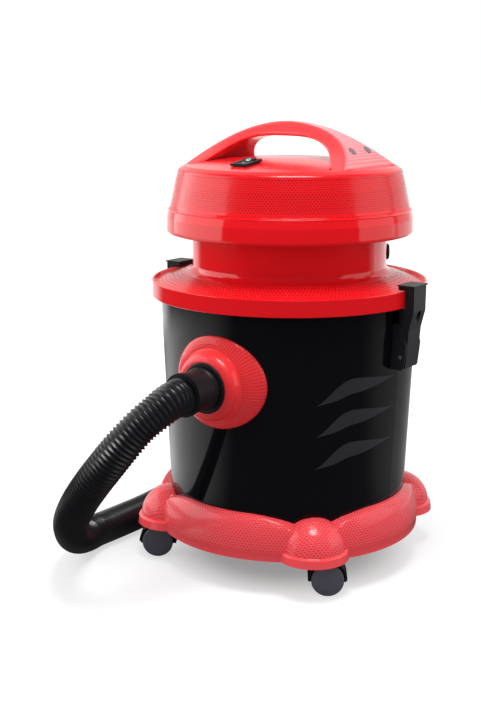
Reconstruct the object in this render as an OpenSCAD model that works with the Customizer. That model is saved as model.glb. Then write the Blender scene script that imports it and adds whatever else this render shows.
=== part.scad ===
// Round wet and dry shop vacuum: tapered tank on a caster dolly, clamped lid,
// motor head with an arched carry handle, and a stretch hose in the front inlet.
// Millimetres, +Z up, origin on the floor under the tank's axis.
// The inlet and the rocker switch face -Y, the clamps and the handle lie along X.

/* [Tank] */
// Outer radius of the tank at its mouth
tank_r = 164; // [160:0.5:166]
// Outer radius of the tank at its foot
tank_foot_r = 152; // [148:0.5:153]
// Height of the tank from foot to mouth
tank_h = 284; // [270:1:320]
// Thickness of the tank's wall and floor
tank_wall = 2.5; // [2:0.1:3.5]

/* [Dolly] */
// Outer radius of the dolly ring at its lower edge
ring_r = 172; // [168:0.5:178]
// Height of the dolly ring
ring_h = 53; // [48:1:60]
// Height of the smooth band round the ring's lower edge
band_h = 11; // [8:0.5:14]
// Radius of the four domes over the casters
lobe_r = 39; // [36:0.5:41]
// Distance of each dome's centre from the tank's axis
lobe_pitch = 154; // [150:0.5:158]
// Depth of the room for the caster stems under the dolly's shelf
stem_room = 25; // [24:0.5:28]
// Thickness of the dolly's moulded shell
dolly_wall = 3; // [2.4:0.1:3.6]

/* [Casters] */
// Diameter of a caster wheel
wheel_d = 40; // [36:1:42]
// Width of each of the two wheels of a caster
wheel_w = 13; // [11:0.5:15]
// Distance from the swivel stem to the axle
trail = 18; // [15:0.5:20]
// Diameter of the swivel stem
stem_d = 10; // [8:0.5:12]
// Diameter of the axle
axle_d = 6; // [5:0.5:7]
// Height of the dolly's underside over the floor
floor_gap = 45; // [45:0.5:52]

/* [Lid] */
// How far the lid's skirt stands out from the tank's mouth
lid_over = 10.5; // [8.5:0.5:14]
// Height of the lid's skirt and lip together
skirt_h = 20.5; // [18:0.5:24]
// How far the skirt hangs down over the tank's mouth
skirt_drop = 10; // [8:0.5:12]
// Outer radius of the neck under the head
neck_r = 123; // [120:0.5:128]
// Thickness of the lid's moulded wall
lid_wall = 3; // [2.4:0.1:3.4]

/* [Head] */
// Outer radius of the smooth band round the head's foot
rim_r = 155.5; // [153:0.5:160]
// Height of the smooth band
rim_h = 33; // [28:0.5:38]
// Gap between the lid's lip and the head's lower edge
neck_gap = 58.5; // [54:0.5:64]
// Height of the ribbed side above the smooth band
side_h = 41; // [36:1:48]
// Radius of the head where its side turns into the dome
shoulder_r = 141; // [139:0.5:144]
// Rise of the dome from the shoulder to its top
dome_rise = 12; // [10:0.5:16]
// Thickness of the head's moulded wall
head_wall = 2.6; // [2.2:0.1:3.2]

/* [Handle] */
// Height of the handle's top over the top of the dome
handle_rise = 43; // [40:1:50]
// Thickness of the grip in the middle
grip_t = 18; // [16:0.5:22]
// Half the width of the grip in the middle
grip_w = 18; // [16:0.5:20]
// Half the length of the handle at its feet
foot_x = 116; // [113:0.5:118]
// Half the width of each foot
foot_w = 70; // [60:1:74]

/* [Clamps] */
// Width of a clamp lever's body
clamp_w = 31; // [28:0.5:34]
// Height of a clamp from its foot to its hook
clamp_h = 103; // [98:1:108]
// How far a clamp stands out from the lid's skirt
clamp_out = 12; // [11:0.5:15]
// Diameter of a clamp's hinge pin
clamp_pin_d = 5; // [4:0.5:6]

/* [Inlet and hose] */
// Height of the inlet's axis over the floor
inlet_z = 255; // [235:1:270]
// Radius of the inlet flange
flange_r = 57; // [52:0.5:60]
// Radius of the hose cuff where it plugs into the inlet
cuff_r = 24.5; // [22:0.5:26]
// Outside diameter of the hose
hose_d = 44; // [38:1:46]
// Bore of the end fitting that takes a wand
wand_d = 35; // [32:0.5:36]

/* [Switch] */
// Width of the switch's frame
switch_w = 23; // [20:0.5:25]
// Length of the switch's frame
switch_l = 33; // [30:0.5:36]
// Tilt of the rocker at rest
rocker_tilt = 9; // [7:0.5:11]

/* [Motor and filter] */
// Radius of the suction fan's housing
fan_r = 70; // [64:1:74]
// Radius of the motor's iron ring
stator_r = 45; // [40:1:48]
// Diameter of the motor's shaft
shaft_d = 9; // [8:0.5:12]
// Outer radius of the filter cartridge
filter_r = 62; // [56:1:70]
// Height of the filter cartridge
filter_h = 95; // [80:1:110]

/* [Fits] */
// Radial clearance of a turning pin or shaft
run_gap = 0.05; // [0.03:0.01:0.09]
// Clearance between pieces that slide or swing past each other
free_gap = 0.6; // [0.5:0.1:1]

/* [Hidden] */
$fn = 96;
e = 0.01;
sides = ["right", "left"];
side_turn = [0, 180];
// Casters in order: front right, front left, back left, back right
caster_at = [-45, -135, 135, 45];
// Way each caster trails at rest, as a turn about +Z from +X
caster_turn = [33, 213, 150, 213];

dolly_z = floor_gap;
shelf_t = 4;
tank_z = dolly_z + stem_room;
mouth_z = tank_z + tank_h;
seal_t = 3;
bead_r = 4.5;
skirt_z = mouth_z - skirt_drop;
lip_z = skirt_z + skirt_h;
deck_z = mouth_z + seal_t + lid_wall;
neck_foot_z = deck_z + 22.5;
lid_r = tank_r + lid_over;
rim_z = lip_z + neck_gap;
neck_z = rim_z + 2;
cover_z = rim_z + rim_h;
shoulder_z = cover_z + side_h;
shoulder_f = 8;
dome_r = shoulder_r - 4;
dome_z = shoulder_z + shoulder_f;
crown_z = dome_z + dome_rise;
apex_z = crown_z + handle_rise;
foot_z = dome_z - 2;

// Outer radius of the tank's cone at height z
function tank_at(z) = tank_foot_r + (tank_r - tank_foot_r) * (z - tank_z) / tank_h;

// Points of an elliptic arc about c from angle a0 to a1
function arc(c, rx, rz, a0, a1, n = 12) =
    [for (i = [0:n]) let (a = a0 + (a1 - a0) * i / n) [c[0] + rx * cos(a), c[1] + rz * sin(a)]];

module ring(r_out, r_in, h) {
    difference() {
        cylinder(r = r_out, h = h);
        translate([0, 0, -e]) cylinder(r = r_in, h = h + 2 * e);
    }
}

// A cone frustum that follows the tank's outside, grown by g, between two heights
module tank_cone(z0, z1, g = 0) {
    translate([0, 0, z0]) cylinder(r1 = tank_at(z0) + g, r2 = tank_at(z1) + g, h = z1 - z0, $fn = 360);
}

// Lays a child that stands along +Z on the inlet's axis, which leaves along -Y
module on_inlet() {
    translate([0, 0, inlet_z]) rotate([90, 0, 0]) children();
}

// ---------------------------------------------------------------- dolly

ring_top_z = dolly_z + ring_h;
band_z = dolly_z + band_h;
boss_r = 9;
sleeve_r = stem_d / 2 + 2;
sleeve_h = stem_room - shelf_t;
lobe_z = dolly_z + 10.4;
screw_pitch = 132;

land_r = tank_at(ring_top_z) + 1.1;
pan_in_r = screw_pitch - 12;

// Revolved outline of the ring, g inside its outer face, down to height z0
function ring_outline(g, z0, n) = concat(
    arc([land_r, band_z], ring_r - land_r - g, ring_top_z - band_z - g, 90, 0, n),
    [[ring_r - 0.8 - g, band_z - 1], [ring_r - 1 - g, z0]]);

// Dome over a caster, g inside its outer face, with a plain band round its foot
module lobe_solid(g) {
    translate([lobe_pitch, 0, 0]) intersection() {
        union() {
            translate([0, 0, lobe_z]) sphere(r = lobe_r - g);
            translate([0, 0, dolly_z - g]) cylinder(r = lobe_r + 0.3 - g, h = lobe_z - dolly_z + g + 0.9);
        }
        translate([0, 0, dolly_z + (g > 0 ? -1.5 : 0.7)]) cylinder(r = 2 * lobe_r, h = 3 * lobe_r);
    }
}

// Pan inside the ring: stiffening flange, shelf for the tank and the wall round the tank's foot
module dolly_pan() {
    out = dolly_wall + 0.8;
    rotate_extrude() polygon([
        [pan_in_r, dolly_z + 4], [pan_in_r + dolly_wall, dolly_z + 4], [pan_in_r + dolly_wall, tank_z - shelf_t],
        [tank_at(tank_z) + out, tank_z - shelf_t], [tank_at(ring_top_z) + out, ring_top_z - 7],
        [tank_at(ring_top_z) - 3, ring_top_z - 2], [pan_in_r, ring_top_z - 2]]);
}

// Ring and four domes moulded as one shell, open underneath, with a pan that carries the tank
module dolly_ring() {
    color("red") difference() {
        union() {
            difference() {
                union() {
                    rotate_extrude() polygon(concat([[tank_at(tank_z), dolly_z], [tank_at(tank_z), ring_top_z]],
                        ring_outline(0, dolly_z, 12)));
                    for (a = caster_at) rotate(a) lobe_solid(0);
                }
                rotate_extrude() polygon(concat([[pan_in_r, dolly_z - 1], [pan_in_r, ring_top_z - 6],
                    [land_r, ring_top_z - 5]], ring_outline(dolly_wall, dolly_z - 1, 6)));
                for (a = caster_at) rotate(a) lobe_solid(dolly_wall);
            }
            dolly_pan();
            for (a = caster_at) rotate(a) translate([lobe_pitch, 0, dolly_z]) cylinder(r = boss_r, h = lobe_z - dolly_z + lobe_r - 2);
        }
        tank_cone(tank_z, ring_top_z + 60, 0.3);
        for (a = caster_at) rotate(a) translate([lobe_pitch, 0, dolly_z - 1]) cylinder(r = sleeve_r, h = sleeve_h + 1);
        for (a = caster_at) rotate(a + 45) translate([screw_pitch, 0, tank_z - shelf_t - 1]) cylinder(r = 2.7, h = shelf_t + 2);
    }
}

// Four screws that come up through the shelf into the tank's floor pads
module dolly_screws() {
    color("silver") for (a = caster_at) rotate(a + 45) translate([screw_pitch, 0, 0]) {
        translate([0, 0, tank_z - shelf_t - 3]) cylinder(r = 4.6, h = 3);
        translate([0, 0, tank_z - shelf_t - e]) cylinder(r = 2.4, h = shelf_t + 9);
    }
}

// Plain bushes pressed into the dolly's bosses, one for each caster stem
module caster_bushes() {
    color("gray") for (a = caster_at) rotate(a) translate([lobe_pitch, 0, dolly_z])
        ring(sleeve_r, stem_d / 2 + run_gap, sleeve_h - 2);
}

// ---------------------------------------------------------------- casters

hood_r = wheel_d / 2 + 4;
web_t = 7;
wheel_in = web_t / 2 + free_gap;
hood_w = 2 * wheel_in + 2 * wheel_w - 8;

// Puts a child built at the caster's own stem under dome number i, trailing along its rest turn
module at_caster(i) {
    rotate(caster_at[i]) translate([lobe_pitch, 0, 0]) rotate(caster_turn[i] - caster_at[i]) children();
}

// Hood, middle web and stem of a twin-wheel caster, in one piece
module caster_hood(i) {
    color("black") at_caster(i) {
        difference() {
            union() {
                translate([trail, 0, wheel_d / 2]) rotate([90, 0, 0]) {
                    translate([0, 0, -hood_w / 2]) intersection() {
                        ring(hood_r, wheel_d / 2 + 1.5, hood_w);
                        translate([-hood_r, 0, 0]) cube([2 * hood_r, hood_r, hood_w]);
                    }
                    translate([0, 0, -web_t / 2]) intersection() {
                        cylinder(r = hood_r - e, h = web_t);
                        translate([-hood_r, -axle_d, 0]) cube([2 * hood_r, 2 * hood_r, web_t]);
                    }
                }
                translate([0, 0, wheel_d / 2 + 12]) cylinder(r = boss_r - 1, h = dolly_z - wheel_d / 2 - 12.4);
            }
            translate([trail, hood_r, wheel_d / 2]) rotate([90, 0, 0]) cylinder(r = axle_d / 2, h = 2 * hood_r);
            for (s = [-1, 1]) translate([trail, s * (wheel_in + wheel_w / 2), wheel_d / 2]) rotate([90, 0, 0])
                translate([0, 0, -wheel_w / 2 - 0.5]) cylinder(r = wheel_d / 2 + 1.2, h = wheel_w + 1);
        }
        translate([0, 0, dolly_z - 0.5]) cylinder(r = stem_d / 2, h = sleeve_h - 2);
    }
}

// Steel axle pressed through the hood's web
module caster_axle(i) {
    color("silver") at_caster(i) translate([trail, 0, wheel_d / 2]) rotate([90, 0, 0])
        translate([0, 0, -wheel_in - wheel_w + 3]) cylinder(r = axle_d / 2, h = 2 * (wheel_in + wheel_w - 3));
}

// One wheel of a caster on side s of the web, closed on its outer face
module caster_wheel(i, s) {
    color([0.12, 0.12, 0.13]) at_caster(i) translate([trail, 0, wheel_d / 2])
        rotate([s > 0 ? -90 : 90, 0, 0]) translate([0, 0, wheel_in]) rotate_extrude() polygon(concat(
            [[axle_d / 2 + run_gap, 0], [axle_d / 2 + 4, 0], [axle_d / 2 + 4, 3], [wheel_d / 2 - 5, 3]],
            [[wheel_d / 2 - 5, 0], [wheel_d / 2 - 1, 0]],
            [[wheel_d / 2, 1.5], [wheel_d / 2, wheel_w - 3]],
            arc([wheel_d / 2 - 3, wheel_w - 3], 3, 2.2, 0, 90, 4),
            [[wheel_d / 4, wheel_w - 0.2], [0, wheel_w], [0, wheel_w - 2.8], [axle_d / 2 + run_gap, wheel_w - 2.8]]));
}

// ---------------------------------------------------------------- tank

inlet_hole_r = cuff_r + 3;

// Tapered tank with a beaded mouth, a hole for the inlet and pads for the dolly's screws
module tank_drum() {
    color([0.05, 0.05, 0.06]) difference() {
        union() {
            rotate_extrude() polygon(concat(
                [[0, tank_z], [tank_foot_r - 4, tank_z], [tank_foot_r - 1, tank_z + 1.2], [tank_at(tank_z + 4), tank_z + 4]],
                [[tank_at(mouth_z - 6), mouth_z - 6], [tank_r + bead_r, mouth_z - 5]],
                arc([tank_r + bead_r - 2, mouth_z - 2], 2, 2, 0, 90, 4),
                [[tank_r - tank_wall, mouth_z]],
                [[tank_foot_r - tank_wall, tank_z + tank_wall + 2], [tank_foot_r - tank_wall - 3, tank_z + tank_wall]],
                [[0, tank_z + tank_wall]]));
            for (a = caster_at) rotate(a + 45) translate([screw_pitch, 0, tank_z + 1]) cylinder(r = 8, h = 11);
        }
        on_inlet() translate([0, 0, tank_r / 2]) cylinder(r = inlet_hole_r, h = tank_r);
        for (a = caster_at) rotate(a + 45) translate([screw_pitch, 0, tank_z - 1]) cylinder(r = 2.4, h = 10.5);
    }
}

// ---------------------------------------------------------------- inlet

flange_seat = tank_at(inlet_z);
step_out = 45.5;
step_in = 41.5;
socket_r = cuff_r + 6;
mouth_y = flange_seat + 24;

// Two-step domed flange that saddles the tank's side
module inlet_flange() {
    color("red") difference() {
        on_inlet() rotate_extrude() polygon(concat(
            [[inlet_hole_r + 1.5, flange_seat - 20], [flange_r, flange_seat - 20], [flange_r, flange_seat + 1]],
            arc([step_out, flange_seat + 1], flange_r - step_out, 6.5, 0, 90, 6),
            [[step_out - 1.2, flange_seat + 7.6], [step_in + 1, flange_seat + 11], [step_in, flange_seat + 13]],
            arc([socket_r + 0.5, flange_seat + 13], step_in - socket_r - 0.5, 9.5, 0, 90, 6),
            [[socket_r + 0.4, flange_seat + 20], [inlet_hole_r + 1.5, flange_seat + 20]]));
        tank_cone(tank_z, mouth_z, 0.05);
    }
}

// Black socket through the flange and the tank's wall, bored for the hose cuff
module inlet_socket() {
    color([0.08, 0.08, 0.09]) on_inlet() rotate_extrude() polygon([
        [cuff_r + 0.1, flange_seat - 30], [inlet_hole_r, flange_seat - 30], [inlet_hole_r, flange_seat + 20],
        [socket_r, flange_seat + 20], [socket_r, mouth_y - 1], [socket_r - 1, mouth_y],
        [cuff_r + 1.2, mouth_y], [cuff_r + 0.1, mouth_y - 1.2]]);
}

// Soft ring between the tank's inner wall and the inlet's nut
module inlet_gasket() {
    color("dimgray") intersection() {
        on_inlet() translate([0, 0, flange_seat - 12]) ring(inlet_hole_r + 9, inlet_hole_r, 20);
        tank_cone(tank_z, mouth_z, -tank_wall - 0.1);
    }
}

// Ring nut on the socket inside the tank
module inlet_nut() {
    color([0.1, 0.1, 0.1]) on_inlet() translate([0, 0, flange_seat - 20]) difference() {
        cylinder(r = inlet_hole_r + 9, h = 8);
        translate([0, 0, -1]) cylinder(r = inlet_hole_r, h = 10);
        for (i = [0:7]) rotate(i * 45) translate([inlet_hole_r + 9.5, 0, -1]) cylinder(r = 3, h = 10);
    }
}

// ---------------------------------------------------------------- clamps

clamp_x = lid_r + clamp_out;
clamp_top_z = lip_z + 7;
clamp_foot_z = clamp_top_z - clamp_h;
pin_z = clamp_foot_z + 16;
pin_x = lid_r - 2.5;
cheek_t = 3;
cheek_h = 56;
cheek_top_z = clamp_foot_z + cheek_h;
lever_gap = 0.4;

// Turns a child that is built on +X to the clamp's side
module on_side(k) {
    rotate(side_turn[k]) children();
}

// Extrudes an outline in the radial plane symmetrically to width w
module radial_slab(w) {
    translate([0, w / 2, 0]) rotate([90, 0, 0]) linear_extrude(w) children();
}

// Bracket on the tank's side: a back plate and two cheeks that hold the hinge pin
module clamp_bracket(k) {
    color([0.1, 0.1, 0.11]) on_side(k) difference() {
        union() {
            for (s = [-1, 1]) translate([0, s * (clamp_w / 2 + lever_gap + cheek_t / 2), 0]) radial_slab(cheek_t)
                polygon([[tank_at(clamp_foot_z) - 6, clamp_foot_z], [clamp_x - 12, clamp_foot_z],
                    [clamp_x - 10, clamp_foot_z + 3], [clamp_x - 7, cheek_top_z - 26],
                    [clamp_x - 12, cheek_top_z - 6], [tank_at(cheek_top_z) + 3, cheek_top_z],
                    [tank_at(cheek_top_z) - 6, cheek_top_z]]);
            radial_slab(clamp_w + 2 * lever_gap + 2 * cheek_t)
                polygon([[tank_at(clamp_foot_z) - 6, clamp_foot_z], [tank_at(clamp_foot_z) + 3, clamp_foot_z],
                    [tank_at(cheek_top_z) + 3, cheek_top_z], [tank_at(cheek_top_z) - 6, cheek_top_z]]);
        }
        tank_cone(tank_z, mouth_z, 0.05);
        translate([pin_x, clamp_w, pin_z]) rotate([90, 0, 0]) cylinder(r = clamp_pin_d / 2, h = 2 * clamp_w);
    }
}

// Hinge pin of a clamp
module clamp_pin(k) {
    color("silver") on_side(k) translate([pin_x, clamp_w / 2 + lever_gap + cheek_t, pin_z]) rotate([90, 0, 0])
        cylinder(r = clamp_pin_d / 2, h = clamp_w + 2 * lever_gap + 2 * cheek_t);
}

// Lever whose hook grips the lid's lip; it swings outward about its pin
module clamp_lever(k) {
    hook_x = lid_r - 9;
    face_z = clamp_top_z - 32;
    hollow_h = 34;
    color([0.1, 0.1, 0.11]) on_side(k) difference() {
        union() {
            radial_slab(clamp_w) polygon([
                [hook_x, lip_z + free_gap], [hook_x, clamp_top_z - 1], [clamp_x, clamp_top_z - 1],
                [clamp_x, face_z], [clamp_x - 5.5, face_z - 22], [clamp_x - 9, clamp_foot_z + 2],
                [clamp_x - 10.5, clamp_foot_z + 1.5], [pin_x + 1, clamp_foot_z + 5], [pin_x - 4.5, pin_z - 4],
                [pin_x - 4.5, pin_z + 5], [tank_at(cheek_top_z) + 4.5, pin_z + 22],
                [tank_at(cheek_top_z) + 4.5, skirt_z - 3], [lid_r - 2, skirt_z - 1.5], [lid_r + free_gap, skirt_z - 1],
                [lid_r + free_gap, lip_z + free_gap]]);
            translate([hook_x - 1, -clamp_w / 2 - 1.5, clamp_top_z - 1.6]) cube([clamp_x - hook_x + 2.5, clamp_w + 3, 1.6]);
        }
        // Finger groove in the lower half of the face
        translate([clamp_x + 0.5, 0, face_z - 14]) rotate([0, -14, 0]) scale([1, 1.3, 4.5]) sphere(r = 4.5, $fn = 40);
        translate([pin_x, clamp_w, pin_z]) rotate([90, 0, 0]) cylinder(r = clamp_pin_d / 2 + run_gap, h = 2 * clamp_w);
        // Hollow back, between two side walls and a middle rib
        for (s = [-1, 1]) translate([clamp_x - 12.5, s * clamp_w / 4, face_z - 26]) cube([9.5, clamp_w / 2 - 4, hollow_h], center = true);
    }
}

// ---------------------------------------------------------------- lid

seat_r = neck_r - lid_wall;
deck_in = neck_r + 10;
deck_out = lid_r - lid_wall;
mount_hole_r = 27;

// Lid with its skirt, upstanding lip, stepped deck and the neck that carries the head
module tank_lid() {
    steps = 5;
    step_w = (deck_out - deck_in) / steps;
    deck_top_z = neck_foot_z - 9;
    rise = deck_top_z - deck_z;
    color("red") difference() {
        rotate_extrude() polygon(concat(
            [[deck_out, skirt_z], [lid_r - 0.6, skirt_z], [lid_r, skirt_z + 0.6], [lid_r, lip_z - 1]],
            arc([lid_r - lid_wall / 2, lip_z - 1], lid_wall / 2, 1, 0, 180, 6),
            [for (i = [0:steps - 1], j = [0, 1]) [deck_out - step_w * (i + j * 0.86) - (j == 0 ? 0.8 : 0),
                deck_z + rise * (i + j * 0.72) / steps]],
            arc([deck_in, neck_foot_z + 0.5], 10, 9.5, 270, 180, 7),
            [[neck_r, neck_z], [seat_r, neck_z], [seat_r, deck_z + 6]],
            [[mount_hole_r, deck_z + 6], [mount_hole_r, deck_z + 6 - lid_wall], [seat_r, deck_z + 6 - lid_wall]],
            [[deck_in - 4, deck_top_z - lid_wall - 1], [deck_in, deck_top_z - lid_wall - 1], [tank_r - 16, deck_z + 2],
                [tank_r - 12, deck_z - lid_wall], [deck_out, deck_z - lid_wall]]));
        rotate(gland_az) translate([neck_r, 0, gland_z]) rotate([0, 90, 0]) translate([0, 0, -9]) cylinder(r = gland_r, h = 12);
    }
}

// Soft ring between the tank's mouth and the lid
module lid_seal() {
    color("dimgray") translate([0, 0, mouth_z]) ring(tank_r + 3, tank_r - 7, seal_t);
}

// Strain-relief gland for the mains lead in the side of the neck
gland_az = 35;
gland_r = 8;
gland_z = (lip_z + rim_z) / 2 + 3;
lead_r = 4;

module cord_gland() {
    color([0.08, 0.08, 0.09]) rotate(gland_az) translate([neck_r, 0, gland_z]) rotate([0, 90, 0]) difference() {
        union() {
            translate([0, 0, -8]) cylinder(r = gland_r, h = 9);
            translate([0, 0, 0.6]) cylinder(r1 = gland_r + 3, r2 = gland_r + 1, h = 3);
            translate([0, 0, -7]) cylinder(r = gland_r + e, h = 2);
        }
        translate([0, 0, -10]) cylinder(r = lead_r, h = 16);
    }
}

// ---------------------------------------------------------------- head

tray_t = 3;

// Smooth lower band of the head: a tray bolted on the neck, with exhaust slots underneath
module head_tray() {
    lip = 4;
    color("red") difference() {
        rotate_extrude() polygon(concat(
            [[neck_r - 22, neck_z], [neck_r + 2, neck_z], [rim_r - 9, rim_z + 0.4]],
            arc([rim_r - lip, rim_z + lip], lip, lip, 270, 360, 5),
            [[rim_r - 0.6, rim_z + rim_h * 0.6], [rim_r - 2.4, rim_z + rim_h * 0.88], [rim_r - 4.4, cover_z]],
            [[rim_r - 4.4 - head_wall, cover_z], [rim_r - 1.2 - head_wall, rim_z + rim_h * 0.6]],
            [[rim_r - head_wall, rim_z + lip + tray_t], [rim_r - 6, rim_z + tray_t + 1.5], [neck_r + 2, neck_z + tray_t]],
            [[neck_r - 22, neck_z + tray_t]]));
        for (i = [0:23]) rotate(i * 15) translate([neck_r + 13, 0, rim_z - 5]) cube([14, 5, 30], center = true);
        for (i = [0:3]) rotate(45 + 90 * i) translate([neck_r - 12, 0, neck_z - 1]) cylinder(r = 2.2, h = tray_t + 2);
    }
}

function dome_at(r) = crown_z - dome_rise * pow(r / dome_r, 2);
function head_outline(g) = concat(
    [[rim_r - 4.6 - g, cover_z], [rim_r - 6.5 - g, cover_z + 7], [shoulder_r + 3.8 - g, cover_z + side_h * 0.66]],
    arc([shoulder_r - shoulder_f - g, shoulder_z], shoulder_f, shoulder_f * 0.92 - g * 0.4, 0, 66, 6),
    [for (i = [0:9]) let (r = (dome_r - 4) * (1 - i / 9)) [r, dome_at(r) - g * 0.99]]);

foot_in_x = 98;
pad_z = foot_z - 4;

// Footprint of one of the handle's feet, grown by g
module foot_outline(g) {
    w = foot_w + g;
    translate([foot_in_x - g, -w]) square([foot_x - foot_in_x + 2 * g, 2 * w]);
}

switch_r = 95;
switch_z = dome_at(switch_r);
switch_lean = 8;

// Frame of reference of the rocker switch, on the front of the dome
module at_switch() {
    translate([0, -switch_r, switch_z]) rotate([switch_lean, 0, 0]) children();
}

// Upper shell of the head, with pockets for the handle's feet and a hole for the switch
module head_cover() {
    color("red") difference() {
        union() {
            difference() {
                rotate_extrude() polygon(concat(head_outline(0), [[0, cover_z]]));
                rotate_extrude() polygon(concat([[rim_r - 4.6 - head_wall, cover_z - 1]],
                    head_outline(head_wall), [[0, cover_z - 1]]));
            }
            // Pads under the handle's feet, with bosses for its screws
            intersection() {
                rotate_extrude() polygon(concat(head_outline(head_wall / 2), [[0, cover_z]]));
                union() for (s = [-1, 1]) {
                    translate([s > 0 ? foot_in_x - 4 : -foot_x - 6, -foot_w - 5, pad_z]) cube([foot_x - foot_in_x + 10, 2 * foot_w + 10, 30]);
                    for (t = [-1, 1]) translate([s * cap_x, t * cap_y, pad_z - 16]) cylinder(r = 5, h = 20);
                }
            }
        }
        for (k = [0, 1]) on_side(k) translate([0, 0, foot_z]) linear_extrude(40) foot_outline(0.35);
        for (k = [0, 1], t = [-1, 1]) on_side(k) translate([cap_x, t * cap_y, foot_z - 18]) cylinder(r = 1.9, h = 30);
        at_switch() translate([0, 0, -8]) cube([switch_w - 3, switch_l - 3, 30], center = true);
        // Cooling louvres at the back of the head
        for (i = [-6:6]) rotate(90 + i * 6) translate([shoulder_r + 5, 0, cover_z + side_h * 0.45]) cube([30, 6, 22], center = true);
    }
}

// Screws that clamp the tray to the neck
module head_screws() {
    color("silver") for (i = [0:3]) rotate(45 + 90 * i) translate([neck_r - 12, 0, neck_z]) {
        translate([0, 0, tray_t]) cylinder(r = 4, h = 2.6);
        translate([0, 0, -7]) cylinder(r = 2.2, h = 7 + tray_t);
    }
}

// Inner bosses of the neck are carried by this ring, which also stiffens the neck
module neck_ring() {
    color("darkred") difference() {
        translate([0, 0, neck_z - 12]) ring(seat_r, neck_r - 20, 12);
        for (i = [0:3]) rotate(45 + 90 * i) translate([neck_r - 12, 0, neck_z - 7]) cylinder(r = 2.2, h = 8);
        rotate(gland_az) translate([neck_r - 30, -15, neck_z - 13]) cube([40, 30, 14]);
    }
}

// ---------------------------------------------------------------- handle

arch_n = 22;
grip_z = apex_z - grip_t;
cap_x = 100;
cap_y = 18;
corner_n = 4;

// Top and underside of the arch over half length x, and half width at height z
reach_x = foot_x + 10;
sink_z = foot_z - 43;
arch_a = 1.84;
arch_b = 0.385;
function top_z(x) = sink_z + (apex_z - sink_z) * pow(1 - pow(abs(x) / reach_x, arch_a), arch_b);
// The sides flare from the grip to the feet along a hyperbola
flare_z = apex_z - 21.3;
flare_c = 2.4 * grip_w;
flare_k = (foot_w - flare_c * flare_c / (4 * foot_w)) / (flare_z - foot_z);
function half_w(z) = let (t = flare_k * (flare_z - z)) (t + norm([t, flare_c])) / 2;

// Stations run from the left foot over the grip to the right foot: s goes from -1 to 1
function station_out(s) = let (x = foot_x * sin(90 * s)) [x, abs(s) > 0.999 ? foot_z : top_z(x)];
function station_in(s) = let (a = abs(s), z = foot_z + (grip_z - foot_z) * pow(1 - pow(a, 2.9), 2.8))
    [foot_in_x * sin(90 * s), z];

// Corner-rounded section between the inner and outer curve at station s
function section(s) = let (
        o = station_out(s), i = station_in(s), wo = half_w(o[1]), wi = half_w(i[1]),
        t = norm(o - i), c = min(5, t / 3) / t, cw = min(5, t / 3))
    [for (q = [0:3], k = [0:corner_n]) let (
            a = 90 * q + 90 * k / corner_n,
            u = (q == 0 || q == 1 ? 1 - c : c) + c * sin(a),
            side = (q == 0 || q == 3 ? 1 : -1),
            w = wi + (wo - wi) * u,
            p = i + (o - i) * u)
        [p[0], side * (w - cw) + cw * cos(a), p[1]]];

// Skin of a tube given as rings of points: quads as two triangles, and two caps
module skin(rings) {
    n = len(rings);
    m = len(rings[0]);
    polyhedron(
        points = [for (r = rings, p = r) p],
        faces = concat(
            [[for (k = [0:m - 1]) k]],
            [[for (k = [m - 1:-1:0]) (n - 1) * m + k]],
            [for (i = [0:n - 2], k = [0:m - 1], h = [0, 1]) let (
                    a = i * m + k, b = i * m + (k + 1) % m, c = a + m, d = b + m)
                h == 0 ? [a, c, b] : [b, c, d]]),
        convexity = 6);
}

cap_tilt = atan((top_z(cap_x - 1) - top_z(cap_x + 1)) / 2);
cap_r = 5.5;
cap_sink = 1.2;
head_at = top_z(cap_x) - 10;

// Places a child at a screw hole of foot k on side t, on the handle's face, looking out of it
module at_cap(k, t) {
    on_side(k) translate([cap_x, t * cap_y, top_z(cap_x)]) rotate([0, cap_tilt, 0]) children();
}

// Arched band with wide feet, bored for the screws that hold it
module carry_handle() {
    color("red") difference() {
        skin([for (i = [-arch_n:arch_n]) section(i / arch_n)]);
        // The flared legs end on the dome, and only their feet go down into its pockets
        difference() {
            rotate_extrude() polygon(concat(head_outline(-0.35), [[0, cover_z]]));
            for (k = [0, 1]) on_side(k) translate([0, 0, foot_z - 1]) linear_extrude(40) foot_outline(0.12);
        }
        for (k = [0, 1], t = [-1, 1]) {
            on_side(k) translate([cap_x, t * cap_y, foot_z - 1]) cylinder(r = 2.2, h = 30);
            on_side(k) translate([cap_x, t * cap_y, head_at]) cylinder(r = 3.8, h = 20);
            at_cap(k, t) translate([0, 0, -cap_sink]) cylinder(r = cap_r + 0.1, h = 12);
        }
    }
}

// Screws through the handle's feet into the head
module handle_screws() {
    color("silver") for (k = [0, 1], t = [-1, 1]) on_side(k) translate([cap_x, t * cap_y, 0]) {
        translate([0, 0, foot_z - 14]) cylinder(r = 1.9, h = head_at - foot_z + 14 + e);
        translate([0, 0, head_at]) cylinder(r = 3.6, h = 2);
    }
}

// Grey caps that cover the screw holes in the handle's feet
module screw_caps() {
    color("gray") for (k = [0, 1], t = [-1, 1]) at_cap(k, t) translate([0, 0, -cap_sink])
        cylinder(r = cap_r, h = cap_sink + 0.5);
}

// ---------------------------------------------------------------- switch

frame_h = 3;
frame_wall = 4;
body_w = switch_w - 3.6;
body_l = switch_l - 3.6;
open_w = switch_w - 2 * frame_wall;
open_l = switch_l - 2 * frame_wall;
trunnion_r = 1.6;
trunnion_l = 2;

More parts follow.
